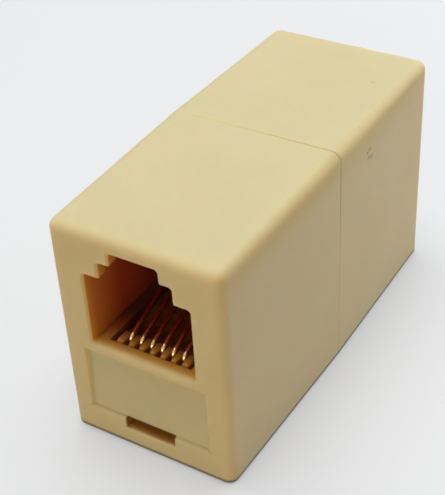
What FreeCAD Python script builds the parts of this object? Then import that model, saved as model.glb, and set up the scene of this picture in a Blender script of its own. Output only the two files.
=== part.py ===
import FreeCAD
import Part
import math
import os

# In-line adapter that joins a telephone plug to an ethernet plug, in millimetres.
# X runs across the adapter, Y along it from the telephone end to the ethernet end, and Z up.
# The origin lies under the seam between the two shells, on the face the adapter stands on.

# Outer form of each shell. The draft of the mould makes the seam larger than the end.
shell_length = 18.3
end_width = 15.8
end_height = 21.5
side_draft = 0.275
top_draft = 0.15
edge_radius = 0.9
base_edge_radius = 0.4

# Walls
end_wall = 1.1
base_wall = 1.9
top_wall = 1.5

# Keyed socket openings, which differ only in width
telephone_width = 9.8
ethernet_width = 11.8
socket_height = 6.95
latch_width = 6.75
latch_rise = 1.55
key_width = 4.45
key_rise = 1.25
opening_corner_radius = 0.25
opening_chamfer = 0.22
sill_radius = 0.45
plug_depth = 12.5
ledge_thickness = 0.95

# Shallow panel under each opening, deeper at its top, and the slot the mould leaves below it
panel_width = 11.7
panel_top_depth = 0.5
panel_base_depth = 0.25
panel_slope = 0.35
panel_head_radius = 0.35
panel_rim_radius = 0.15
panel_foot_radius = 0.2
sill_lip = 0.9
slot_width = 4.9
slot_height = 1.05

# Catch on the floor of each shell
catch_width = 4.3
catch_height = 0.95
catch_depth = 6.0
catch_flat = 0.4
catch_length = 1.7

# Seam between the shells
seam_gap = 0.03
seam_chamfer = 0.06
lip_thickness = 0.8
lip_length = 1.2
lip_play = 0.05
lip_end_play = 0.1

# Contact wires
wire_count = 6
wire_pitch = 1.02
wire_diameter = 0.4
wire_flats = 7
wire_play = 0.04
wire_angle = 19.0
bend_radius = 0.8
leg_length = 0.78
lead_depth = 2.6
lead_rise = 0.12
tip_reach = 0.8

# Contact block
telephone_positions = 6
ethernet_positions = 8
block_side_play = 0.1
block_end_play = 0.1
ledge_play = 0.1
skirt_wall = 1.0
comb_depth = 1.4
comb_side_gap = 0.45
end_tooth = 0.66
tooth_radius = 0.42
tooth_chamfer = 0.13
slot_clearance = 0.2
web_thickness = 1.2
stop_play = 0.1
stop_thickness = 1.2
stop_top_play = 0.1
guide_sill = 1.5
guide_head = 1.0
tongue_width = 4.0
tongue_thickness = 1.0
tongue_play = 0.1
hook_length = 1.0
hook_play = 0.08
hook_floor_play = 0.15

# Sunk into a neighbour before a fuse, or carried past a face before a cut
overlap = 0.3
tolerance = 1e-4

# Levels and widths that follow from the sizes above
seam_width = end_width + 2 * side_draft
seam_height = end_height + top_draft
ceiling = end_height - top_wall
latch_top = ceiling - key_rise
socket_top = latch_top - latch_rise
socket_floor = socket_top - socket_height
ledge_bottom = socket_floor - ledge_thickness
cavity_width = max(telephone_width, ethernet_width)
half_gap = seam_gap / 2
block_width = cavity_width - 2 * block_side_play
deck_top = ledge_bottom - ledge_play
wire_slope = math.radians(wire_angle)
wire_room = wire_diameter + 2 * wire_play
lead_level = socket_floor + lead_rise
bend_depth = lead_depth + bend_radius * math.sin(wire_slope)
bend_level = lead_level - bend_radius * math.cos(wire_slope)
leg_bottom = bend_level - leg_length
run_level = leg_bottom - bend_radius
deck_bottom = run_level - wire_room / 2
comb_front = end_wall + block_end_play
stop_front = plug_depth + stop_play
stop_back = stop_front + stop_thickness
tip_depth = stop_front + tip_reach
tip_level = lead_level + (tip_depth - lead_depth) * math.tan(wire_slope)
stop_top = ceiling - stop_top_play


def at_depth(depth):
    """Y of the plane that lies this far inside the telephone end face."""
    return depth - shell_length


def across(width):
    """Range of X for a width centred on the adapter."""
    return (-width / 2, width / 2)


def box(x, y, z):
    """Box over three ranges."""
    corner = FreeCAD.Vector(x[0], y[0], z[0])
    return Part.makeBox(x[1] - x[0], y[1] - y[0], z[1] - z[0], corner)


def polygon_solid(corners, travel):
    """Solid swept from a flat outline along a straight travel."""
    return Part.Face(Part.makePolygon(corners + corners[:1])).extrude(travel)


def end_profile(points, y):
    """Solid with an (x, z) outline, over a range of Y."""
    corners = [FreeCAD.Vector(x, y[0], z) for x, z in points]
    return polygon_solid(corners, FreeCAD.Vector(0, y[1] - y[0], 0))


def side_profile(points, x):
    """Solid with a (y, z) outline, over a range of X."""
    corners = [FreeCAD.Vector(x[0], y, z) for y, z in points]
    return polygon_solid(corners, FreeCAD.Vector(x[1] - x[0], 0, 0))


def both_sides(shape):
    """A shape and its mirror image on the other side of the middle plane."""
    return [shape, shape.mirror(FreeCAD.Vector(0, 0, 0), FreeCAD.Vector(1, 0, 0))]


def turned(shape):
    """A shape made for the telephone end, turned to face the ethernet end."""
    other_end = shape.copy()
    other_end.rotate(FreeCAD.Vector(0, 0, 0), FreeCAD.Vector(0, 0, 1), 180)
    return other_end


def edges_in(shape, x, y, z):
    """Edges of a shape that lie wholly inside three ranges."""
    found = []
    for edge in shape.Edges:
        bounds = edge.BoundBox
        inside_x = x[0] - tolerance < bounds.XMin and bounds.XMax < x[1] + tolerance
        inside_y = y[0] - tolerance < bounds.YMin and bounds.YMax < y[1] + tolerance
        inside_z = z[0] - tolerance < bounds.ZMin and bounds.ZMax < z[1] + tolerance
        if inside_x and inside_y and inside_z:
            found.append(edge)
    return found


def wire_places():
    """X of each wire, in a row centred on the adapter."""
    return [(index - (wire_count - 1) / 2) * wire_pitch for index in range(wire_count)]


def slot_places(positions):
    """X of each slot of a comb: on the grid of the wires, with the spare slots shared out beside them."""
    spare = (positions - wire_count) // 2
    first = wire_places()[0] - spare * wire_pitch
    return [first + index * wire_pitch for index in range(positions)]


def comb_half_width(positions):
    return max(abs(x) for x in slot_places(positions)) + wire_room / 2 + end_tooth


def shell_blank():
    """Solid outer form of a shell: drafted, with soft edges and a small chamfer at the seam."""
    blank = Part.makeWedge(-end_width / 2, -shell_length, 0, 0, -seam_width / 2,
                           end_width / 2, -half_gap, end_height, seam_height, seam_width / 2)
    wide = across(seam_width)
    whole = (-shell_length, -half_gap)
    seam = (-half_gap, -half_gap)
    base = (0, 0)
    tall = (0, seam_height)

    hard = edges_in(blank, wide, seam, tall) + edges_in(blank, wide, whole, base)
    soft = [edge for edge in blank.Edges if not any(edge.isSame(other) for other in hard)]
    blank = blank.makeFillet(edge_radius, soft)

    seam_edges = edges_in(blank, wide, seam, tall)
    base_edges = edges_in(blank, wide, whole, base)
    base_edges = [edge for edge in base_edges if not any(edge.isSame(other) for other in seam_edges)]
    blank = blank.makeFillet(base_edge_radius, base_edges)
    return blank.makeChamfer(seam_chamfer, edges_in(blank, wide, seam, tall))


def socket_opening(socket_width):
    """Cutter for the stepped opening: plug body below, then the latch, then the key of the latch."""
    right_side = [(socket_width / 2, socket_floor), (socket_width / 2, socket_top),
                  (latch_width / 2, socket_top), (latch_width / 2, latch_top),
                  (key_width / 2, latch_top), (key_width / 2, ceiling)]
    left_side = [(-x, z) for x, z in reversed(right_side)]
    through = (at_depth(-overlap), at_depth(end_wall + overlap))
    cutter = end_profile(right_side + left_side, through)
    corners = [edge for edge in cutter.Edges if edge.BoundBox.YLength > overlap]
    return cutter.makeFillet(opening_corner_radius, corners)


def sill_nose(socket_width):
    """Cutter that rounds the front edge of the sill, between the corners of the opening."""
    x = socket_width / 2 - opening_corner_radius
    middle = sill_radius * math.cos(math.pi / 4)
    front = FreeCAD.Vector(-x, at_depth(0), socket_floor - sill_radius)
    crown = FreeCAD.Vector(-x, at_depth(sill_radius - middle), socket_floor - sill_radius + middle)
    back = FreeCAD.Vector(-x, at_depth(sill_radius), socket_floor)
    above = FreeCAD.Vector(-x, at_depth(-overlap), socket_floor)
    below = FreeCAD.Vector(-x, at_depth(-overlap), socket_floor - sill_radius)
    outline = Part.Wire([
        Part.Arc(front, crown, back).toShape(),
        Part.LineSegment(back, above).toShape(),
        Part.LineSegment(above, below).toShape(),
        Part.LineSegment(below, front).toShape(),
    ])
    return Part.Face(outline).extrude(FreeCAD.Vector(2 * x, 0, 0))


def panel_recess():
    """Cutter for the shallow panel: sloping top and sides, a leaning face and a soft foot."""
    x = across(panel_width)
    z = (base_wall + slot_height, socket_floor - sill_lip)
    well = Part.makeWedge(x[0], at_depth(0), z[0], z[0], x[0] + panel_slope,
                          x[1], at_depth(panel_top_depth), z[1], z[1] - panel_slope, x[1] - panel_slope)
    lean = [(at_depth(0), z[0]), (at_depth(0), z[1]), (at_depth(panel_top_depth), z[1]),
            (at_depth(panel_base_depth), z[0])]
    cutter = well.common(side_profile(lean, x))
    foot = edges_in(cutter, x, (at_depth(panel_base_depth), at_depth(panel_top_depth)), z)
    soft = [edge for edge in foot if edge.BoundBox.ZMax > z[0] + tolerance]
    return cutter.makeFillet(panel_foot_radius, soft)


def end_face(blank, socket_width):
    """Cut the opening, the panel and the slot into the end of a blank, with their rims softened."""
    face = (at_depth(0), at_depth(0))
    cut = blank.cut(socket_opening(socket_width))
    rim = edges_in(cut, across(socket_width), face, (socket_floor, ceiling))
    cut = cut.makeChamfer(opening_chamfer, rim)
    cut = cut.cut(sill_nose(socket_width))
    cut = cut.cut(panel_recess())
    panel_z = (base_wall + slot_height, socket_floor - sill_lip)
    head = edges_in(cut, across(panel_width), face, (panel_z[1], panel_z[1]))
    cut = cut.makeFillet(panel_head_radius, head)
    rim = edges_in(cut, across(panel_width), face, panel_z)
    cut = cut.makeFillet(panel_rim_radius, rim)
    through = (at_depth(-overlap), at_depth(end_wall + overlap))
    slot = box(across(slot_width), through, (base_wall, base_wall + slot_height + panel_rim_radius))
    return cut.cut(slot)


def floor_catch():
    """Rib that the hook of the contact block snaps behind, with a ramp towards the seam."""
    front = at_depth(catch_depth)
    top = base_wall + catch_height
    root = base_wall - overlap
    outline = [(front, root), (front, top), (front + catch_flat, top),
               (front + catch_length, base_wall), (front + catch_length, root)]
    return side_profile(outline, across(catch_width))


def socket_shell(socket_width, positions):
    """One half of the case, with its end at -Y: end face, cavity, socket walls, ledges and catch."""
    cavity_x = across(cavity_width)
    cavity_y = (at_depth(end_wall), overlap)
    cavity_z = (base_wall, ceiling)
    shell = end_face(shell_blank().cut(box(cavity_x, cavity_y, cavity_z)), socket_width)

    lane = (at_depth(end_wall) - overlap, at_depth(plug_depth))
    wall_x = cavity_width / 2 + overlap
    ledge_x = comb_half_width(positions) + comb_side_gap
    linings = [box((ledge_x, wall_x), lane, (ledge_bottom, socket_floor))]
    if socket_width < cavity_width:
        linings.append(box((socket_width / 2, wall_x), lane, (ledge_bottom, ceiling + overlap)))
    additions = [floor_catch()]
    for lining in linings:
        additions.extend(both_sides(lining))
    return shell.fuse(additions).removeSplitter()


def seam_ring(thickness, y):
    """Ring round the cavity at the seam, over a range of Y."""
    outside = box(across(cavity_width + 2 * thickness), y, (base_wall - thickness, ceiling + thickness))
    inside = box(across(cavity_width), (y[0] - overlap, y[1] + overlap), (base_wall, ceiling))
    return outside.cut(inside)


def telephone_shell():
    lip = seam_ring(lip_thickness, (-half_gap - overlap, lip_length))
    return socket_shell(telephone_width, telephone_positions).fuse(lip).removeSplitter()


def ethernet_shell():
    rebate = seam_ring(lip_thickness + lip_play, (-lip_length - lip_end_play, overlap))
    return turned(socket_shell(ethernet_width, ethernet_positions).cut(rebate))


def tooth(x):
    """One tooth of a comb over a range of X, rounded over its front and chamfered at its sides."""
    front = at_depth(comb_front)
    back = at_depth(comb_front + comb_depth)
    blank = box(x, (front, back), (deck_bottom, socket_floor))
    brow = edges_in(blank, x, (front, front), (socket_floor, socket_floor))
    blank = blank.makeFillet(tooth_radius, brow)
    sides = []
    for x_side in x:
        upper = edges_in(blank, (x_side, x_side), (front, back), (socket_floor - tooth_radius, socket_floor))
        sides += upper + edges_in(blank, (x_side, x_side), (front, front), (deck_bottom, socket_floor))
    return blank.makeChamfer(tooth_chamfer, sides)


def comb(positions):
    """Row of teeth at one end of the block, one between each two slots and one beside each outer slot."""
    half_width = comb_half_width(positions)
    starts = [-half_width] + [x + wire_room / 2 for x in slot_places(positions)]
    ends = [x - wire_room / 2 for x in slot_places(positions)] + [half_width]
    return [tooth(x) for x in zip(starts, ends)]


def comb_slot(x):
    """Cutter for the slot of a wire, through a comb and the deck under it."""
    lane = (at_depth(comb_front - overlap), at_depth(bend_depth + slot_clearance))
    return box((x - wire_room / 2, x + wire_room / 2), lane, (deck_bottom - overlap, socket_floor + overlap))


def stop_wall():
    """Wall that a plug stops against, with windows that guide the free tips of the wires."""
    lane = (at_depth(stop_front), at_depth(stop_back))
    wall = box(across(block_width), lane, (deck_top - overlap, stop_top))
    past = (lane[0] - overlap, lane[1] + overlap)
    room = (deck_top + guide_sill, tip_level + guide_head)
    for x in wire_places():
        wall = wall.cut(box((x - wire_room / 2, x + wire_room / 2), past, room))
    return wall


def snap_tongue():
    """Springy tongue under the deck, with the hook that holds a shell on."""
    bottom = base_wall + catch_height + tongue_play
    top = bottom + tongue_thickness
    hook_back = at_depth(catch_depth - hook_play)
    hook_front = hook_back - hook_length
    hook_bottom = base_wall + hook_floor_play
    hook_foot = hook_back - hook_length / 2
    outline = [(0, bottom), (0, top), (hook_front, top), (hook_front, bottom),
               (hook_foot, hook_bottom), (hook_back, hook_bottom), (hook_back, bottom)]
    return side_profile(outline, across(tongue_width))


def contact_block():
    """Insert that carries the wires: deck, skirts, web, and at each end a comb, stop wall and tongue."""
    length = (at_depth(comb_front), -at_depth(comb_front))
    block = box(across(block_width), length, (deck_bottom, deck_top))
    block = block.fuse(comb(telephone_positions) + [turned(piece) for piece in comb(ethernet_positions)])

    for x in slot_places(telephone_positions):
        block = block.cut(comb_slot(x))
    for x in slot_places(ethernet_positions):
        block = block.cut(turned(comb_slot(x)))
    for x in wire_places():
        block = block.cut(comb_slot(x)).cut(turned(comb_slot(x)))
        groove_x = (x - wire_room / 2, x + wire_room / 2)
        groove_z = (deck_bottom - overlap, run_level + wire_room / 2)
        block = block.cut(box(groove_x, length, groove_z))

    skirt_x = (block_width / 2 - skirt_wall, block_width / 2)
    skirt = box(skirt_x, length, (base_wall, deck_top))
    tower_side = box(skirt_x, (at_depth(stop_front), -at_depth(stop_front)), (deck_top - overlap, stop_top))
    web = box(across(block_width), across(web_thickness), (base_wall, deck_bottom))
    ends = [stop_wall(), snap_tongue()]
    additions = [web] + both_sides(skirt) + both_sides(tower_side) + ends + [turned(end) for end in ends]
    return block.fuse(additions).removeSplitter()


def wire_section(centre, along):
    """Outline of the round wire, drawn with flats so that its bends stay light."""
    circle = Part.makeCircle(wire_diameter / 2, centre, along)
    return Part.makePolygon(circle.discretize(wire_flats + 1))


def bend_points(level, start, end):
    """First, middle and last point of a bend round a centre at this level, between two angles."""
    points = []
    for angle in (start, (start + end) / 2, end):
        y = at_depth(bend_depth) + bend_radius * math.cos(angle)
        points.append((y, level + bend_radius * math.sin(angle)))
    return points


def bent_end(points):
    """Edges from the free tip of a wire to its run: sprung arm, bend, short leg and bend."""
    return [
        Part.LineSegment(points[0], points[1]).toShape(),
        Part.Arc(points[1], points[2], points[3]).toShape(),
        Part.LineSegment(points[3], points[4]).toShape(),
        Part.Arc(points[4], points[5], points[6]).toShape(),
    ]


def contact_wire():
    """Wire on the middle plane: a run under the deck, with a bent end in each socket."""
    lead_angle = math.pi / 2 + wire_slope
    leg_angle = math.pi
    run_angle = 3 * math.pi / 2
    tip = (at_depth(tip_depth), tip_level)
    upper_bend = bend_points(bend_level, lead_angle, leg_angle)
    lower_bend = bend_points(leg_bottom, leg_angle, run_angle)
    near = [FreeCAD.Vector(0, y, z) for y, z in [tip] + upper_bend + lower_bend]
    far = [FreeCAD.Vector(0, -point.y, point.z) for point in near]
    run = Part.LineSegment(near[-1], far[-1]).toShape()
    path = Part.Wire(bent_end(near) + [run] + bent_end(far)[::-1])
    return path.makePipeShell([wire_section(near[0], near[1] - near[0])], True, False)


def adapter_nodes():
    """Every piece of the adapter, by name."""
    nodes = {
        "telephone_shell": telephone_shell(),
        "ethernet_shell": ethernet_shell(),
        "contact_block": contact_block(),
    }
    for number, x in enumerate(wire_places(), start=1):
        wire = contact_wire()
        wire.translate(FreeCAD.Vector(x, 0, 0))
        nodes["contact_wire_%d" % number] = wire
    return nodes


os.makedirs("parts", exist_ok=True)
for name, shape in adapter_nodes().items():
    shape.exportStep("parts/%s.step" % name)
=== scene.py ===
import math

import bmesh
import bpy
from mathutils import Matrix, Vector


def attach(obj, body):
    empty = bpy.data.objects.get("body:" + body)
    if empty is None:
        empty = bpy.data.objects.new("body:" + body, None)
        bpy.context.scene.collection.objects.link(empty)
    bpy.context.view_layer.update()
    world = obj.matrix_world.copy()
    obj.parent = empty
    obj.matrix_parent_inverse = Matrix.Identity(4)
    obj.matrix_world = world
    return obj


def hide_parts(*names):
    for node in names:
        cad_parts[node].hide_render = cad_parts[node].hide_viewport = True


# In-line adapter in a moulded ivory case, with six sprung contact wires in its telephone socket.
# Blender's unit is the metre. Values named in millimetres are turned to metres where they are used.

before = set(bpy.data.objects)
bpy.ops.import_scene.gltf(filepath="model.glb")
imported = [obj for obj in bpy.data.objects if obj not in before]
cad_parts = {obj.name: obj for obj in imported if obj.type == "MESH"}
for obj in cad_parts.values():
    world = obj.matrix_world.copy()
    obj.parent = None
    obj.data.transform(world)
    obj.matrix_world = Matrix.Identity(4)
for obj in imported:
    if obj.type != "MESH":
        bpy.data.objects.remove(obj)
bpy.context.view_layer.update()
MM = 0.001


def linear(hex_code):
    """An sRGB hex colour as linear RGBA."""
    values = [int(hex_code[place:place + 2], 16) / 255 for place in (1, 3, 5)]
    return [v / 12.92 if v <= 0.04045 else ((v + 0.055) / 1.055) ** 2.4 for v in values] + [1.0]


def cycles_for(size_mm):
    """Texture scale that gives a pattern features of this size."""
    return 1 / (size_mm * MM)


def limits(pair_mm):
    """Where a Map Range starts and ends, in metres."""
    return {"From Min": pair_mm[0] * MM, "From Max": pair_mm[1] * MM}


def band(levels_mm):
    """What a Compare needs to pick all between two levels: their middle and half their distance, in metres."""
    low, high = levels_mm
    return {1: (low + high) / 2 * MM, 2: (high - low) / 2 * MM}


def add_node(tree, kind, settings=None, inputs=None, stops=None):
    """Add a node with its settings, its inputs and the stops of its colour ramp.

    An input takes a value, a socket, or a node, whose first output it is linked to.
    """
    node = tree.nodes.new(kind)
    for name, value in (settings or {}).items():
        setattr(node, name, value)
    for key, value in (inputs or {}).items():
        named = [socket for socket in node.inputs if socket.enabled and socket.name == key]
        socket = named[0] if named else node.inputs[key]
        if isinstance(value, bpy.types.Node):
            value = [output for output in value.outputs if output.enabled][0]
        if isinstance(value, bpy.types.NodeSocket):
            tree.links.new(value, socket)
        else:
            socket.default_value = value
    for index, (position, hex_code) in enumerate(stops or []):
        spare = index < len(node.color_ramp.elements)
        stop = node.color_ramp.elements[index] if spare else node.color_ramp.elements.new(position)
        stop.position = position
        stop.color = linear(hex_code)
    return node


def new_material(name):
    """A material with an empty tree."""
    material = bpy.data.materials.new(name)
    material.use_nodes = True
    material.node_tree.nodes.clear()
    return material, material.node_tree


# Planes of the case that its finishes follow
HALF_LENGTH_MM = 18.3
END_WALL_MM = 1.1
CAVITY_HALF_WIDTH_MM = 6.05
CAVITY_LEVELS_MM = (1.85, 20.15)
CEILING_MM = 19.9
PANEL_LEVELS_MM = (3.0, 9.8)
PANEL_DEPTH_MM = 0.5
SLOT_TOP_MM = 3.7
LEDGE_MM = 10.3
SILL_LEVELS_MM = (PANEL_LEVELS_MM[1], LEDGE_MM)


def depth_from_end(tree, spot):
    """Node that gives the distance inside the nearer end face, in metres."""
    along = add_node(tree, "ShaderNodeMath", {"operation": "ABSOLUTE"}, {0: spot.outputs["Y"]})
    return add_node(tree, "ShaderNodeMath", {"operation": "SUBTRACT"}, {0: HALF_LENGTH_MM * MM, 1: along})


def seen_ray(tree):
    """Node that is 1 for rays from the camera, from a reflection or through a clear piece, and 0 for others."""
    ray = add_node(tree, "ShaderNodeLightPath")
    mirrored = add_node(tree, "ShaderNodeMath", {"operation": "MAXIMUM"}, {
        0: ray.outputs["Is Glossy Ray"], 1: ray.outputs["Is Transmission Ray"]})
    return add_node(tree, "ShaderNodeMath", {"operation": "MAXIMUM"}, {
        0: ray.outputs["Is Camera Ray"], 1: mirrored})


# Ivory case: moulded ABS.
# The mould's fine spark-eroded skin gives a satin surface with a soft, wide highlight. Its grain is drawn coarser
# than the real one, so that it shows. The plastic lets light in, red furthest, so its edges are warm and a thin
# wall looks a little greener; the long upper edges are also painted warmer, as painted light. Inside the sockets
# only light that has passed through the walls arrives, so the ivory there is painted golden at the rim, then
# amber,
# then red brown: painted light and shade.
IVORY = "#DDD0A2"
IVORY_PALE = "#E0D4A8"
IVORY_DEEP = "#D9CB9B"
TINT_SPREAD = (0.3, 0.7)
TINT_DRIFT_MM = 9.0
PIGMENT_MM = 1.1
MOULD_GRAIN_MM = 0.22
GRAIN_HEIGHT_MM = 0.02
GRAIN_STRENGTH = 0.12
ABS_ROUGHNESS = (0.54, 0.7)
ABS_IOR = 1.53
# How far red, green and blue light spread: in the case, round the sockets, and where a lip or rim stops them
SCATTER_MM = (1.5, 0.8, 0.3)
CAVITY_SCATTER_MM = (5.5, 2.0, 0.5)
LIP_SCATTER_MM = (0.15, 0.12, 0.1)
# Edges, softest along the outside of the case
EDGE_SOFTNESS_MM = 0.12
OUTER_SOFTNESS_MM = 0.7
OUTER_SIDE_MM = (6.4, 7.0)
OUTER_TOP_MM = (20.3, 20.6)
# Painted light: a warmer tone along the long upper edges
WARM_EDGE = "#D9C788"
WARM_ACROSS_MM = (7.3, 8.0)
WARM_HEIGHT_MM = (17.6, 21.0)
# Panels under the sockets, with painted shade where they are sunk and on their lip
PANEL_SHADED_IVORY = "#D6CDA3"
PANEL_LIP_SHADE = "#CEC094"
PANEL_LIP_MM = 0.15
PANEL_SINK_MM = (0.1, 0.35)
# Sockets and slots, with painted light and shade that deepens further in
AMBER_BY_DEPTH_MM = [
    (0.0, "#EEC05C"), (0.5, "#F2B840"), (1.1, "#DD9F40"), (4.5, "#C4581E"), (12.0, "#993A08")]
AMBER_START_MM = 0.02
AMBER_FADE_MM = 0.3
SILL_FADE_MM = 0.4
LEDGE_AMBER = "#6A2E0C"
LEDGE_DARKENS_MM = (END_WALL_MM, 5.0)
SLOT_AMBER = "#CC8C34"
WIDE_SOCKET_PALER = 0.35
GLOW_MM = (0.0, 2 * END_WALL_MM)
RIM_MM = (0.02, 0.15)
# Seam between the two shells
# Painted light: the seam is painted paler than the case, to lift the shade of its groove
SEAM_PALE = "#ECDFA8"
SEAM_DEEP = "#DECB90"
SEAM_LINE_MM = (0.06, 0.16)
SEAM_LIP_MM = (0.2, 2.0)
DEEP_SEAM_HEIGHT_MM = (11.0, 19.0)
DEEP_SEAM_ACROSS_MM = (-6.0, 6.0)
# Foot of the case
FOOT_SHADE = "#786D4A"
FOOT_LINE_MM = (0.38, 0.64)
UNDERSIDE_FACING = (-0.95, -0.7)
# Small grey scuffs on one side and a speck on top: place and half sizes in millimetres, and strength
SCUFF = "#8E7C52"
SCUFF_WANDER_MM = 0.3
SCUFF_FADE = (0.2, 1.1)
SCUFFS = [
    ((8.1, 5.46, 18.18), (0.5, 0.44, 0.32), 0.48),
    ((8.1, 6.06, 18.02), (0.5, 0.44, 0.32), 0.48),
    ((8.1, 5.2, 18.8), (0.5, 0.22, 0.24), 0.8),
    ((8.1, 5.65, 18.95), (0.5, 0.34, 0.3), 0.5),
    ((5.31, 11.97, 21.6), (0.34, 0.26, 0.5), 0.2),
]


def moulded_ivory_abs():
    material, tree = new_material("moulded_ivory_abs")
    place = add_node(tree, "ShaderNodeTexCoord").outputs["Object"]
    spot = add_node(tree, "ShaderNodeSeparateXYZ", inputs={"Vector": place})
    height = spot.outputs["Z"]
    across = add_node(tree, "ShaderNodeMath", {"operation": "ABSOLUTE"}, {0: spot.outputs["X"]})
    depth = depth_from_end(tree, spot)
    drift = add_node(tree, "ShaderNodeTexNoise", inputs={
        "Vector": place, "Scale": cycles_for(TINT_DRIFT_MM), "Detail": 2.0})
    pigment = add_node(tree, "ShaderNodeTexNoise", inputs={
        "Vector": place, "Scale": cycles_for(PIGMENT_MM), "Detail": 3.0})
    grain = add_node(tree, "ShaderNodeTexNoise", inputs={
        "Vector": place, "Scale": cycles_for(MOULD_GRAIN_MM), "Detail": 2.0})
    tint = add_node(tree, "ShaderNodeValToRGB", inputs={"Fac": drift},
                    stops=[(TINT_SPREAD[0], IVORY_DEEP), (TINT_SPREAD[1], IVORY_PALE)])
    colour = add_node(tree, "ShaderNodeMix", {"data_type": "RGBA"}, {
        "Factor": pigment, "A": tint, "B": linear(IVORY)})

    # Painted light: the long upper edges are painted warmer, for light that came in at the top and leaves at the
    # side
    edge_side = add_node(tree, "ShaderNodeMapRange", inputs={"Value": across, **limits(WARM_ACROSS_MM)})
    warm_edge = add_node(tree, "ShaderNodeMapRange", {"interpolation_type": "SMOOTHSTEP"}, {
        "Value": height, **limits(WARM_HEIGHT_MM), "To Max": edge_side})
    colour = add_node(tree, "ShaderNodeMix", {"data_type": "RGBA"}, {
        "Factor": warm_edge, "A": colour, "B": linear(WARM_EDGE)})

    # Painted shade: the panels under the sockets, darker where they are sunk, and the lip at their lower edge
    inside_width = add_node(tree, "ShaderNodeMath", {"operation": "LESS_THAN"}, {
        0: across, 1: CAVITY_HALF_WIDTH_MM * MM})
    inside_level = add_node(tree, "ShaderNodeMath", {"operation": "COMPARE"}, {
        0: height, **band(CAVITY_LEVELS_MM)})
    inside = add_node(tree, "ShaderNodeMath", {"operation": "MULTIPLY"}, {0: inside_width, 1: inside_level})
    panel_bottom, panel_top = PANEL_LEVELS_MM
    panel_level = add_node(tree, "ShaderNodeMath", {"operation": "COMPARE"}, {
        0: height, **band((panel_bottom - PANEL_LIP_MM, panel_top + PANEL_LIP_MM))})
    panel = add_node(tree, "ShaderNodeMath", {"operation": "MULTIPLY"}, {0: inside, 1: panel_level})
    sunk_shade = add_node(tree, "ShaderNodeMapRange", inputs={
        "Value": depth, **limits(PANEL_SINK_MM), "To Max": panel})
    colour = add_node(tree, "ShaderNodeMix", {"data_type": "RGBA"}, {
        "Factor": sunk_shade, "A": colour, "B": linear(PANEL_SHADED_IVORY)})
    panel_foot = add_node(tree, "ShaderNodeMath", {"operation": "COMPARE"}, {
        0: height, 1: panel_bottom * MM, 2: PANEL_LIP_MM * MM})
    panel_lip = add_node(tree, "ShaderNodeMath", {"operation": "MULTIPLY"}, {0: panel, 1: panel_foot})
    colour = add_node(tree, "ShaderNodeMix", {"data_type": "RGBA"}, {
        "Factor": panel_lip, "A": colour, "B": linear(PANEL_LIP_SHADE)})

    # Painted light and shade inside: the amber starts at the rim of a socket and of the slot, and behind the panel
    amber_start = add_node(tree, "ShaderNodeMath", {"operation": "MULTIPLY_ADD"}, {
        0: panel, 1: PANEL_DEPTH_MM * MM, 2: AMBER_START_MM * MM})
    amber_depth = add_node(tree, "ShaderNodeMath", {"operation": "SUBTRACT"}, {0: depth, 1: amber_start})
    at_sill = add_node(tree, "ShaderNodeMath", {"operation": "COMPARE"}, {0: height, **band(SILL_LEVELS_MM)})
    fade = add_node(tree, "ShaderNodeMath", {"operation": "MULTIPLY_ADD"}, {
        0: at_sill, 1: SILL_FADE_MM * MM, 2: AMBER_FADE_MM * MM})
    amber_share = add_node(tree, "ShaderNodeMapRange", inputs={
        "Value": amber_depth, "From Min": 0.0, "From Max": fade, "To Max": inside})
    deepest = AMBER_BY_DEPTH_MM[-1][0]
    ramp_place = add_node(tree, "ShaderNodeMapRange", inputs={"Value": depth, **limits((0.0, deepest))})
    amber = add_node(tree, "ShaderNodeValToRGB", inputs={"Fac": ramp_place},
                     stops=[(reach / deepest, hex_code) for reach, hex_code in AMBER_BY_DEPTH_MM])
    # Painted shade: the ledges beside the contact block get less light the further in they lie
    low_down = add_node(tree, "ShaderNodeMath", {"operation": "LESS_THAN"}, {0: height, 1: LEDGE_MM * MM})
    ledge = add_node(tree, "ShaderNodeMapRange", inputs={
        "Value": depth, **limits(LEDGE_DARKENS_MM), "To Max": low_down})
    amber = add_node(tree, "ShaderNodeMix", {"data_type": "RGBA"}, {
        "Factor": ledge, "A": amber, "B": linear(LEDGE_AMBER)})
    # Painted light: the slot is painted one amber all through
    in_slot = add_node(tree, "ShaderNodeMath", {"operation": "LESS_THAN"}, {0: height, 1: SLOT_TOP_MM * MM})
    amber = add_node(tree, "ShaderNodeMix", {"data_type": "RGBA"}, {
        "Factor": in_slot, "A": amber, "B": linear(SLOT_AMBER)})
    # Painted light: the wider ethernet socket lets in more light, so its amber is paler
    wide_end = add_node(tree, "ShaderNodeMath", {"operation": "GREATER_THAN"}, {0: spot.outputs["Y"], 1: 0.0})
    paler = add_node(tree, "ShaderNodeMath", {"operation": "MULTIPLY"}, {0: wide_end, 1: WIDE_SOCKET_PALER})
    amber = add_node(tree, "ShaderNodeMix", {"data_type": "RGBA"}, {
        "Factor": paler, "A": amber, "B": linear(IVORY)})
    colour = add_node(tree, "ShaderNodeMix", {"data_type": "RGBA"}, {
        "Factor": amber_share, "A": colour, "B": amber})

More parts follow.
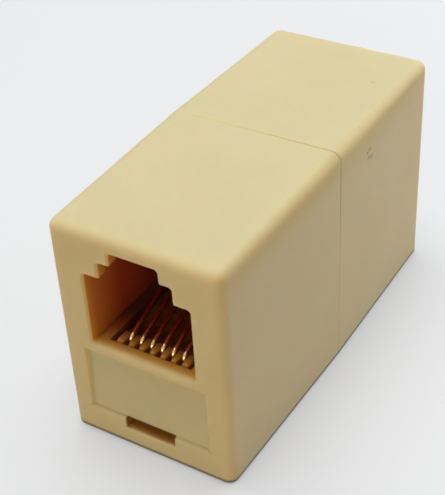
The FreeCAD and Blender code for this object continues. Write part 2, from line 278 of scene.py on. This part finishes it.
    # Light spreads furthest in the walls of the sockets, and least at their rims and at the panel's lip
    between = add_node(tree, "ShaderNodeMath", {"operation": "COMPARE"}, {
        0: height, **band((LEDGE_MM, CEILING_MM))})
    glow_room = add_node(tree, "ShaderNodeMath", {"operation": "MULTIPLY"}, {0: inside, 1: between})
    glow_share = add_node(tree, "ShaderNodeMapRange", inputs={
        "Value": amber_depth, **limits(GLOW_MM), "To Max": glow_room})
    at_rim = add_node(tree, "ShaderNodeMapRange", inputs={
        "Value": amber_depth, **limits(RIM_MM), "To Max": inside})
    at_lip = add_node(tree, "ShaderNodeMath", {"operation": "MAXIMUM"}, {0: at_rim, 1: panel_lip})
    scatter = add_node(tree, "ShaderNodeMix", {"data_type": "VECTOR"}, {
        "Factor": at_lip, "A": SCATTER_MM, "B": LIP_SCATTER_MM})
    scatter = add_node(tree, "ShaderNodeMix", {"data_type": "VECTOR"}, {
        "Factor": glow_share, "A": scatter, "B": CAVITY_SCATTER_MM})

    # The seam, painted paler than the case to lift the shade of its groove (painted light), and deeper in tone on
    # the right of the top and high on the right side.
    # The lip behind it stops the light, so less of it scatters there
    from_seam = add_node(tree, "ShaderNodeMath", {"operation": "ABSOLUTE"}, {0: spot.outputs["Y"]})
    seam = add_node(tree, "ShaderNodeMapRange", inputs={
        "Value": from_seam, **limits(SEAM_LINE_MM), "To Min": 1.0, "To Max": 0.0})
    high_up = add_node(tree, "ShaderNodeMapRange", inputs={"Value": height, **limits(DEEP_SEAM_HEIGHT_MM)})
    deep_share = add_node(tree, "ShaderNodeMapRange", inputs={
        "Value": spot.outputs["X"], **limits(DEEP_SEAM_ACROSS_MM), "To Max": high_up})
    seam_tone = add_node(tree, "ShaderNodeMix", {"data_type": "RGBA"}, {
        "Factor": deep_share, "A": linear(SEAM_PALE), "B": linear(SEAM_DEEP)})
    colour = add_node(tree, "ShaderNodeMix", {"data_type": "RGBA"}, {
        "Factor": seam, "A": colour, "B": seam_tone})
    seam_lip = add_node(tree, "ShaderNodeMapRange", inputs={
        "Value": from_seam, **limits(SEAM_LIP_MM), "To Min": 1.0, "To Max": 0.0})
    scatter = add_node(tree, "ShaderNodeMix", {"data_type": "VECTOR"}, {
        "Factor": seam_lip, "A": scatter, "B": LIP_SCATTER_MM})

    # The scuffs, each a soft patch with a wandering outline
    wander = add_node(tree, "ShaderNodeVectorMath", {"operation": "MULTIPLY_ADD"}, {
        0: pigment.outputs["Color"], 1: (SCUFF_WANDER_MM * MM,) * 3, 2: place})
    for centre, half_size, strength in SCUFFS:
        offset = add_node(tree, "ShaderNodeVectorMath", {"operation": "SUBTRACT"}, {
            0: wander, 1: [(v + SCUFF_WANDER_MM / 2) * MM for v in centre]})
        reach = add_node(tree, "ShaderNodeVectorMath", {"operation": "DIVIDE"}, {
            0: offset, 1: [v * MM for v in half_size]})
        far = add_node(tree, "ShaderNodeVectorMath", {"operation": "LENGTH"}, {0: reach})
        mark = add_node(tree, "ShaderNodeMapRange", {"interpolation_type": "SMOOTHSTEP"}, {
            "Value": far, "From Min": SCUFF_FADE[0], "From Max": SCUFF_FADE[1],
            "To Min": strength, "To Max": 0.0})
        colour = add_node(tree, "ShaderNodeMix", {"data_type": "RGBA"}, {
            "Factor": mark, "A": colour, "B": linear(SCUFF)})

    # The foot, where little light gets in between the case and what it stands on
    facing = add_node(tree, "ShaderNodeSeparateXYZ", inputs={
        "Vector": add_node(tree, "ShaderNodeNewGeometry").outputs["Normal"]})
    not_under = add_node(tree, "ShaderNodeMapRange", inputs={
        "Value": facing.outputs["Z"], "From Min": UNDERSIDE_FACING[0], "From Max": UNDERSIDE_FACING[1]})
    foot = add_node(tree, "ShaderNodeMapRange", inputs={
        "Value": height, **limits(FOOT_LINE_MM), "To Min": not_under, "To Max": 0.0})
    colour = add_node(tree, "ShaderNodeMix", {"data_type": "RGBA"}, {
        "Factor": foot, "A": colour, "B": linear(FOOT_SHADE)})

    # The skin, with edges that are softest along the outside of the case, apart from the seam
    polish = add_node(tree, "ShaderNodeMapRange", inputs={
        "Value": grain, "To Min": ABS_ROUGHNESS[0], "To Max": ABS_ROUGHNESS[1]})
    at_side = add_node(tree, "ShaderNodeMapRange", inputs={"Value": across, **limits(OUTER_SIDE_MM)})
    at_top = add_node(tree, "ShaderNodeMapRange", inputs={"Value": height, **limits(OUTER_TOP_MM)})
    outside = add_node(tree, "ShaderNodeMath", {"operation": "MAXIMUM"}, {0: at_side, 1: at_top})
    off_seam = add_node(tree, "ShaderNodeMath", {"operation": "SUBTRACT"}, {0: 1.0, 1: seam_lip})
    outer = add_node(tree, "ShaderNodeMath", {"operation": "MULTIPLY"}, {0: outside, 1: off_seam})
    softness = add_node(tree, "ShaderNodeMath", {"operation": "MULTIPLY_ADD"}, {
        0: outer, 1: OUTER_SOFTNESS_MM * MM, 2: EDGE_SOFTNESS_MM * MM})
    round_edges = add_node(tree, "ShaderNodeBevel", {"samples": 6}, {"Radius": softness})
    skin = add_node(tree, "ShaderNodeBump", inputs={
        "Height": grain, "Strength": GRAIN_STRENGTH, "Distance": GRAIN_HEIGHT_MM * MM, "Normal": round_edges})
    shader = add_node(tree, "ShaderNodeBsdfPrincipled", inputs={
        "Base Color": colour, "Roughness": polish, "Normal": skin, "IOR": ABS_IOR,
        "Subsurface Weight": 1.0, "Subsurface Radius": scatter, "Subsurface Scale": MM})
    add_node(tree, "ShaderNodeOutputMaterial", inputs={"Surface": shader})
    return material


# Contact block: moulded polyester, a deeper ivory than the case.
# The mould leaves a smooth, rather dull skin with faint clouds in its tone. The block is painted golden at its
# combs, next to the end walls, and brown further in, where little light arrives, as painted light and shade. Its
# grain is drawn coarser than the real one.
BLOCK_BY_DEPTH_MM = [
    (1.2, "#F0B450"), (1.7, "#D8983C"), (2.3, "#A2682A"), (3.0, "#8A561E"), (12.0, "#6A3E16")]
BLOCK_PALE = "#D8A652"
BLOCK_DRIFT_MM = 0.9
CLOUD_SPREAD = (0.4, 0.8)
CLOUD_SHARE = 0.3
BLOCK_GRAIN_MM = 0.25
BLOCK_GRAIN_HEIGHT_MM = 0.02
BLOCK_GRAIN_STRENGTH = 0.1
BLOCK_EDGE_MM = 0.1
BLOCK_ROUGHNESS = (0.46, 0.6)
POLYESTER_IOR = 1.57
BLOCK_SPECULAR = 0.3


def moulded_polyester():
    material, tree = new_material("moulded_polyester")
    place = add_node(tree, "ShaderNodeTexCoord").outputs["Object"]
    spot = add_node(tree, "ShaderNodeSeparateXYZ", inputs={"Vector": place})
    drift = add_node(tree, "ShaderNodeTexNoise", inputs={
        "Vector": place, "Scale": cycles_for(BLOCK_DRIFT_MM), "Detail": 3.0})
    grain = add_node(tree, "ShaderNodeTexNoise", inputs={
        "Vector": place, "Scale": cycles_for(BLOCK_GRAIN_MM), "Detail": 2.0})
    # Painted light and shade: golden at the combs, brown further in where little light arrives
    deepest = BLOCK_BY_DEPTH_MM[-1][0]
    ramp_place = add_node(tree, "ShaderNodeMapRange", inputs={
        "Value": depth_from_end(tree, spot), **limits((0.0, deepest))})
    amber = add_node(tree, "ShaderNodeValToRGB", inputs={"Fac": ramp_place},
                     stops=[(reach / deepest, hex_code) for reach, hex_code in BLOCK_BY_DEPTH_MM])
    cloud = add_node(tree, "ShaderNodeMapRange", inputs={
        "Value": drift, "From Min": CLOUD_SPREAD[0], "From Max": CLOUD_SPREAD[1], "To Max": CLOUD_SHARE})
    colour = add_node(tree, "ShaderNodeMix", {"data_type": "RGBA"}, {
        "Factor": cloud, "A": amber, "B": linear(BLOCK_PALE)})
    polish = add_node(tree, "ShaderNodeMapRange", inputs={
        "Value": grain, "To Min": BLOCK_ROUGHNESS[0], "To Max": BLOCK_ROUGHNESS[1]})
    round_edges = add_node(tree, "ShaderNodeBevel", {"samples": 8}, {"Radius": BLOCK_EDGE_MM * MM})
    skin = add_node(tree, "ShaderNodeBump", inputs={
        "Height": grain, "Strength": BLOCK_GRAIN_STRENGTH, "Distance": BLOCK_GRAIN_HEIGHT_MM * MM,
        "Normal": round_edges})
    shader = add_node(tree, "ShaderNodeBsdfPrincipled", inputs={
        "Base Color": colour, "Roughness": polish, "Normal": skin, "IOR": POLYESTER_IOR,
        "Specular IOR Level": BLOCK_SPECULAR})
    add_node(tree, "ShaderNodeOutputMaterial", inputs={"Surface": shader})
    return material


# Contact wires: phosphor bronze, drawn and gold plated.
# The drawing die leaves fine streaks along the wire, drawn coarser here so that they show, and the thin plating
# lets a little of the bronze through. Behind its hook the wire stands in the red light of the socket, so its arm
# is painted red brown: a painted reflection of that light.
GOLD = "#F4D096"
BRONZE = "#C08A54"
PLATING_SPREAD = (0.3, 0.6)
ARM_RED_REFLECTION = "#B4644A"
ARM_SHARE = 0.88
HOOK_MM = (2.3, 4.0)
DRAW_STREAK_MM = 0.06
STREAK_LENGTH_MM = 2.5
STREAK_HEIGHT_MM = 0.01
STREAK_STRENGTH = 0.1
WIRE_ROUGHNESS = (0.2, 0.32)


def drawn_gilt_bronze():
    material, tree = new_material("drawn_gilt_bronze")
    place = add_node(tree, "ShaderNodeTexCoord").outputs["Object"]
    stretch = add_node(tree, "ShaderNodeMapping", inputs={
        "Vector": place,
        "Scale": (cycles_for(DRAW_STREAK_MM), cycles_for(STREAK_LENGTH_MM), cycles_for(DRAW_STREAK_MM))})
    streaks = add_node(tree, "ShaderNodeTexNoise", inputs={"Vector": stretch, "Scale": 1.0, "Detail": 2.0})
    plating = add_node(tree, "ShaderNodeValToRGB", inputs={"Fac": streaks},
                       stops=[(PLATING_SPREAD[0], BRONZE), (PLATING_SPREAD[1], GOLD)])
    spot = add_node(tree, "ShaderNodeSeparateXYZ", inputs={"Vector": place})
    # Painted reflection: behind the hook the arm is painted red brown, for the red light of the socket
    past_hook = add_node(tree, "ShaderNodeMapRange", inputs={
        "Value": depth_from_end(tree, spot), **limits(HOOK_MM), "To Max": ARM_SHARE})
    tint = add_node(tree, "ShaderNodeMix", {"data_type": "RGBA"}, {
        "Factor": past_hook, "A": plating, "B": linear(ARM_RED_REFLECTION)})
    polish = add_node(tree, "ShaderNodeMapRange", inputs={
        "Value": streaks, "To Min": WIRE_ROUGHNESS[0], "To Max": WIRE_ROUGHNESS[1]})
    skin = add_node(tree, "ShaderNodeBump", inputs={
        "Height": streaks, "Strength": STREAK_STRENGTH, "Distance": STREAK_HEIGHT_MM * MM})
    shader = add_node(tree, "ShaderNodeBsdfPrincipled", inputs={
        "Base Color": tint, "Roughness": polish, "Normal": skin, "Metallic": 1.0})
    add_node(tree, "ShaderNodeOutputMaterial", inputs={"Surface": shader})
    return material


# Floor: a sheet of matt studio paper.
# It looks pale, keeps a faint shadow from the lamps, and throws back a little warm light. Its glow is dimmed next
# to the case, a painted shadow that is deepest at the case's foot.
PAPER = "#EEF1F6"
PAPER_SHADE = "#EAEDF3"
PAPER_LIT = "#A2A2A2"
PAPER_BOUNCE = "#BAA88E"
PAPER_GLOW = 0.54
PAPER_MOTTLE_MM = 30.0
PAPER_ROUGHNESS = 0.8
CONTACT_SHADE_MM = 8.0
CONTACT_SOFTNESS = 0.28


def studio_paper():
    material, tree = new_material("studio_paper")
    place = add_node(tree, "ShaderNodeTexCoord").outputs["Object"]
    mottle = add_node(tree, "ShaderNodeTexNoise", inputs={
        "Vector": place, "Scale": cycles_for(PAPER_MOTTLE_MM), "Detail": 2.0})
    tint = add_node(tree, "ShaderNodeValToRGB", inputs={"Fac": mottle},
                    stops=[(0.0, PAPER_SHADE), (1.0, PAPER)])
    seen = seen_ray(tree)
    colour = add_node(tree, "ShaderNodeMix", {"data_type": "RGBA"}, {
        "Factor": seen, "A": linear(PAPER_BOUNCE), "B": linear(PAPER_LIT)})
    # Painted shadow: the glow is dimmed where the case stands near
    open_air = add_node(tree, "ShaderNodeAmbientOcclusion", {"samples": 16}, {
        "Distance": CONTACT_SHADE_MM * MM})
    shade = add_node(tree, "ShaderNodeMath", {"operation": "POWER"}, {
        0: open_air.outputs["AO"], 1: CONTACT_SOFTNESS})
    strength = add_node(tree, "ShaderNodeMath", {"operation": "MULTIPLY"}, {0: shade, 1: PAPER_GLOW})
    glow = add_node(tree, "ShaderNodeMath", {"operation": "MULTIPLY"}, {0: seen, 1: strength})
    shader = add_node(tree, "ShaderNodeBsdfPrincipled", inputs={
        "Base Color": colour, "Roughness": PAPER_ROUGHNESS, "Emission Color": tint, "Emission Strength": glow})
    add_node(tree, "ShaderNodeOutputMaterial", inputs={"Surface": shader})
    return material


# Sprung contact wires, as round wire with true bends.
# Places are (y, z) in millimetres, for the telephone end. The ethernet end mirrors it.
WIRES = 6
WIRE_PITCH_MM = 1.02
WIRE_RADIUS_MM = 0.2
TIP_MM = (-4.9, 14.088)
UPPER_BEND_MM = (-15.44, 9.614)
LOWER_BEND_MM = (-15.44, 8.834)
BEND_RADIUS_MM = 0.8
ARM_SLOPE = math.radians(19)
END_CHAMFER_MM = 0.06
BEND_STEPS = 12
WIRE_SIDES = 24
SHARP_ANGLE = math.radians(35)


def wire_line():
    """Half of a wire as (y, z) places with directions: tip, sprung arm, bend, short leg, bend to the run."""
    line = [(Vector(TIP_MM), Vector((-math.cos(ARM_SLOPE), -math.sin(ARM_SLOPE))))]
    bends = [(UPPER_BEND_MM, math.pi / 2 + ARM_SLOPE, math.pi), (LOWER_BEND_MM, math.pi, 1.5 * math.pi)]
    for centre, start, end in bends:
        for step in range(BEND_STEPS + 1):
            angle = start + (end - start) * step / BEND_STEPS
            outward = Vector((math.cos(angle), math.sin(angle)))
            line.append((Vector(centre) + outward * BEND_RADIUS_MM, Vector((-outward.y, outward.x))))
    return line


def round_wire(name, node, x):
    """A round wire swept along the centreline of a CAD wire, which it stands for."""
    half = wire_line()
    far_half = [(Vector((-point.x, point.y)), Vector((direction.x, -direction.y)))
                for point, direction in half]
    line = half + far_half[::-1]
    tip, into_wire = line[0]
    end, out_of_wire = line[-1]
    small = WIRE_RADIUS_MM - END_CHAMFER_MM
    rounds = [(tip, into_wire, small), (tip + into_wire * END_CHAMFER_MM, into_wire, WIRE_RADIUS_MM)]
    rounds += [(point, direction, WIRE_RADIUS_MM) for point, direction in line[1:-1]]
    rounds += [(end - out_of_wire * END_CHAMFER_MM, out_of_wire, WIRE_RADIUS_MM), (end, out_of_wire, small)]

    mesh = bmesh.new()
    rings = []
    for point, direction, radius in rounds:
        ring = []
        for side in range(WIRE_SIDES):
            angle = 2 * math.pi * side / WIRE_SIDES
            sideways, upright = radius * math.cos(angle), radius * math.sin(angle)
            corner = Vector((x + sideways, point.x - direction.y * upright, point.y + direction.x * upright))
            ring.append(mesh.verts.new(corner * MM))
        rings.append(ring)
    for ring, next_ring in zip(rings, rings[1:]):
        for side in range(WIRE_SIDES):
            after = (side + 1) % WIRE_SIDES
            mesh.faces.new((ring[side], ring[after], next_ring[after], next_ring[side]))
    mesh.faces.new(rings[0])
    mesh.faces.new(rings[-1])
    bmesh.ops.recalc_face_normals(mesh, faces=mesh.faces)
    data = bpy.data.meshes.new(name)
    mesh.to_mesh(data)
    mesh.free()
    data.polygons.foreach_set("use_smooth", [True] * len(data.polygons))
    data.set_sharp_from_angle(angle=SHARP_ANGLE)
    wire = bpy.data.objects.new(name, data)
    bpy.context.scene.collection.objects.link(wire)
    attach(wire, "root")
    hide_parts(node)
    return wire


def dress(node, material):
    """Give a CAD node its finish."""
    node.data.materials.clear()
    node.data.materials.append(material)


# Studio, in metres where a name doesn't say millimetres
FLOOR_SIZE = 1.6
FLOOR_SQUARES = 8
# What the world gives as light, and how bright it is where it is seen
WORLD_FILL = 0.02
WORLD_SEEN = 0.75
LAMP_AIM = (0.0, 0.0, 0.01)
# Name, place, width, height, power in watts, colour and spread in degrees
LAMPS = [
    ("overhead_softbox", (-0.08, 0.05, 0.49), 0.5, 0.5, 2.5, (0.99, 1.0, 0.97), 180),
    ("warm_front_softbox", (0.028, -0.41, 0.14), 0.4, 0.16, 0.62, (1.0, 0.82, 0.57), 180),
    ("rear_strip", (0.065, 0.12, 0.038), 0.18, 0.06, 0.034, (0.95, 0.94, 1.0), 90),
]
# The camera as it was solved from the photo, with the directions of its picture
CAMERA_PLACE_MM = (44.0594, -73.2432, 72.6254)
CAMERA_RIGHT = (0.85515, 0.51619, -0.04769)
CAMERA_DOWN = (0.27398, -0.52815, -0.80374)
CAMERA_AHEAD = (-0.44007, 0.67425, -0.59307)
LENS_MM = 86.308
CLIP_START = 0.005


def paper_floor():
    mesh = bmesh.new()
    bmesh.ops.create_grid(mesh, x_segments=FLOOR_SQUARES, y_segments=FLOOR_SQUARES, size=FLOOR_SIZE / 2)
    data = bpy.data.meshes.new("paper_floor")
    mesh.to_mesh(data)
    mesh.free()
    floor = bpy.data.objects.new("paper_floor", data)
    bpy.context.scene.collection.objects.link(floor)
    data.materials.append(studio_paper())


def softbox(name, place, width, height, power, colour, spread):
    """A flat lamp with a soft edge of light, turned to face the adapter."""
    lamp = bpy.data.lights.new(name, "AREA")
    lamp.shape = "RECTANGLE"
    lamp.size = width
    lamp.size_y = height
    lamp.energy = power
    lamp.color = colour
    lamp.spread = math.radians(spread)
    holder = bpy.data.objects.new(name, lamp)
    bpy.context.scene.collection.objects.link(holder)
    holder.location = place
    holder.rotation_mode = "QUATERNION"
    holder.rotation_quaternion = (Vector(LAMP_AIM) - Vector(place)).to_track_quat("-Z", "Y")
    holder.visible_camera = False


def studio_light():
    world = bpy.data.worlds.new("studio")
    world.use_nodes = True
    tree = world.node_tree
    tree.nodes.clear()
    strength = add_node(tree, "ShaderNodeMapRange", inputs={
        "Value": seen_ray(tree), "To Min": WORLD_FILL, "To Max": WORLD_SEEN})
    sky = add_node(tree, "ShaderNodeBackground", inputs={"Color": linear(PAPER), "Strength": strength})
    add_node(tree, "ShaderNodeOutputWorld", inputs={"Surface": sky})
    bpy.context.scene.world = world
    for lamp in LAMPS:
        softbox(*lamp)


def photo_camera():
    camera = bpy.data.cameras.new("photo_camera")
    camera.lens = LENS_MM
    camera.clip_start = CLIP_START
    holder = bpy.data.objects.new("photo_camera", camera)
    bpy.context.scene.collection.objects.link(holder)
    turn = Matrix((CAMERA_RIGHT, [-v for v in CAMERA_DOWN], [-v for v in CAMERA_AHEAD])).transposed()
    holder.rotation_mode = "QUATERNION"
    holder.rotation_quaternion = turn.to_quaternion()
    holder.location = Vector(CAMERA_PLACE_MM) * MM
    bpy.context.scene.camera = holder


ivory = moulded_ivory_abs()
dress(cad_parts["telephone_shell"], ivory)
dress(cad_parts["ethernet_shell"], ivory)
dress(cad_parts["contact_block"], moulded_polyester())
gilt = drawn_gilt_bronze()
for number in range(1, WIRES + 1):
    x = (number - (WIRES + 1) / 2) * WIRE_PITCH_MM
    wire = round_wire("sprung_wire_%d" % number, "contact_wire_%d" % number, x)
    wire.data.materials.append(gilt)

paper_floor()
studio_light()
photo_camera()
bpy.context.scene.view_settings.view_transform = "Standard"
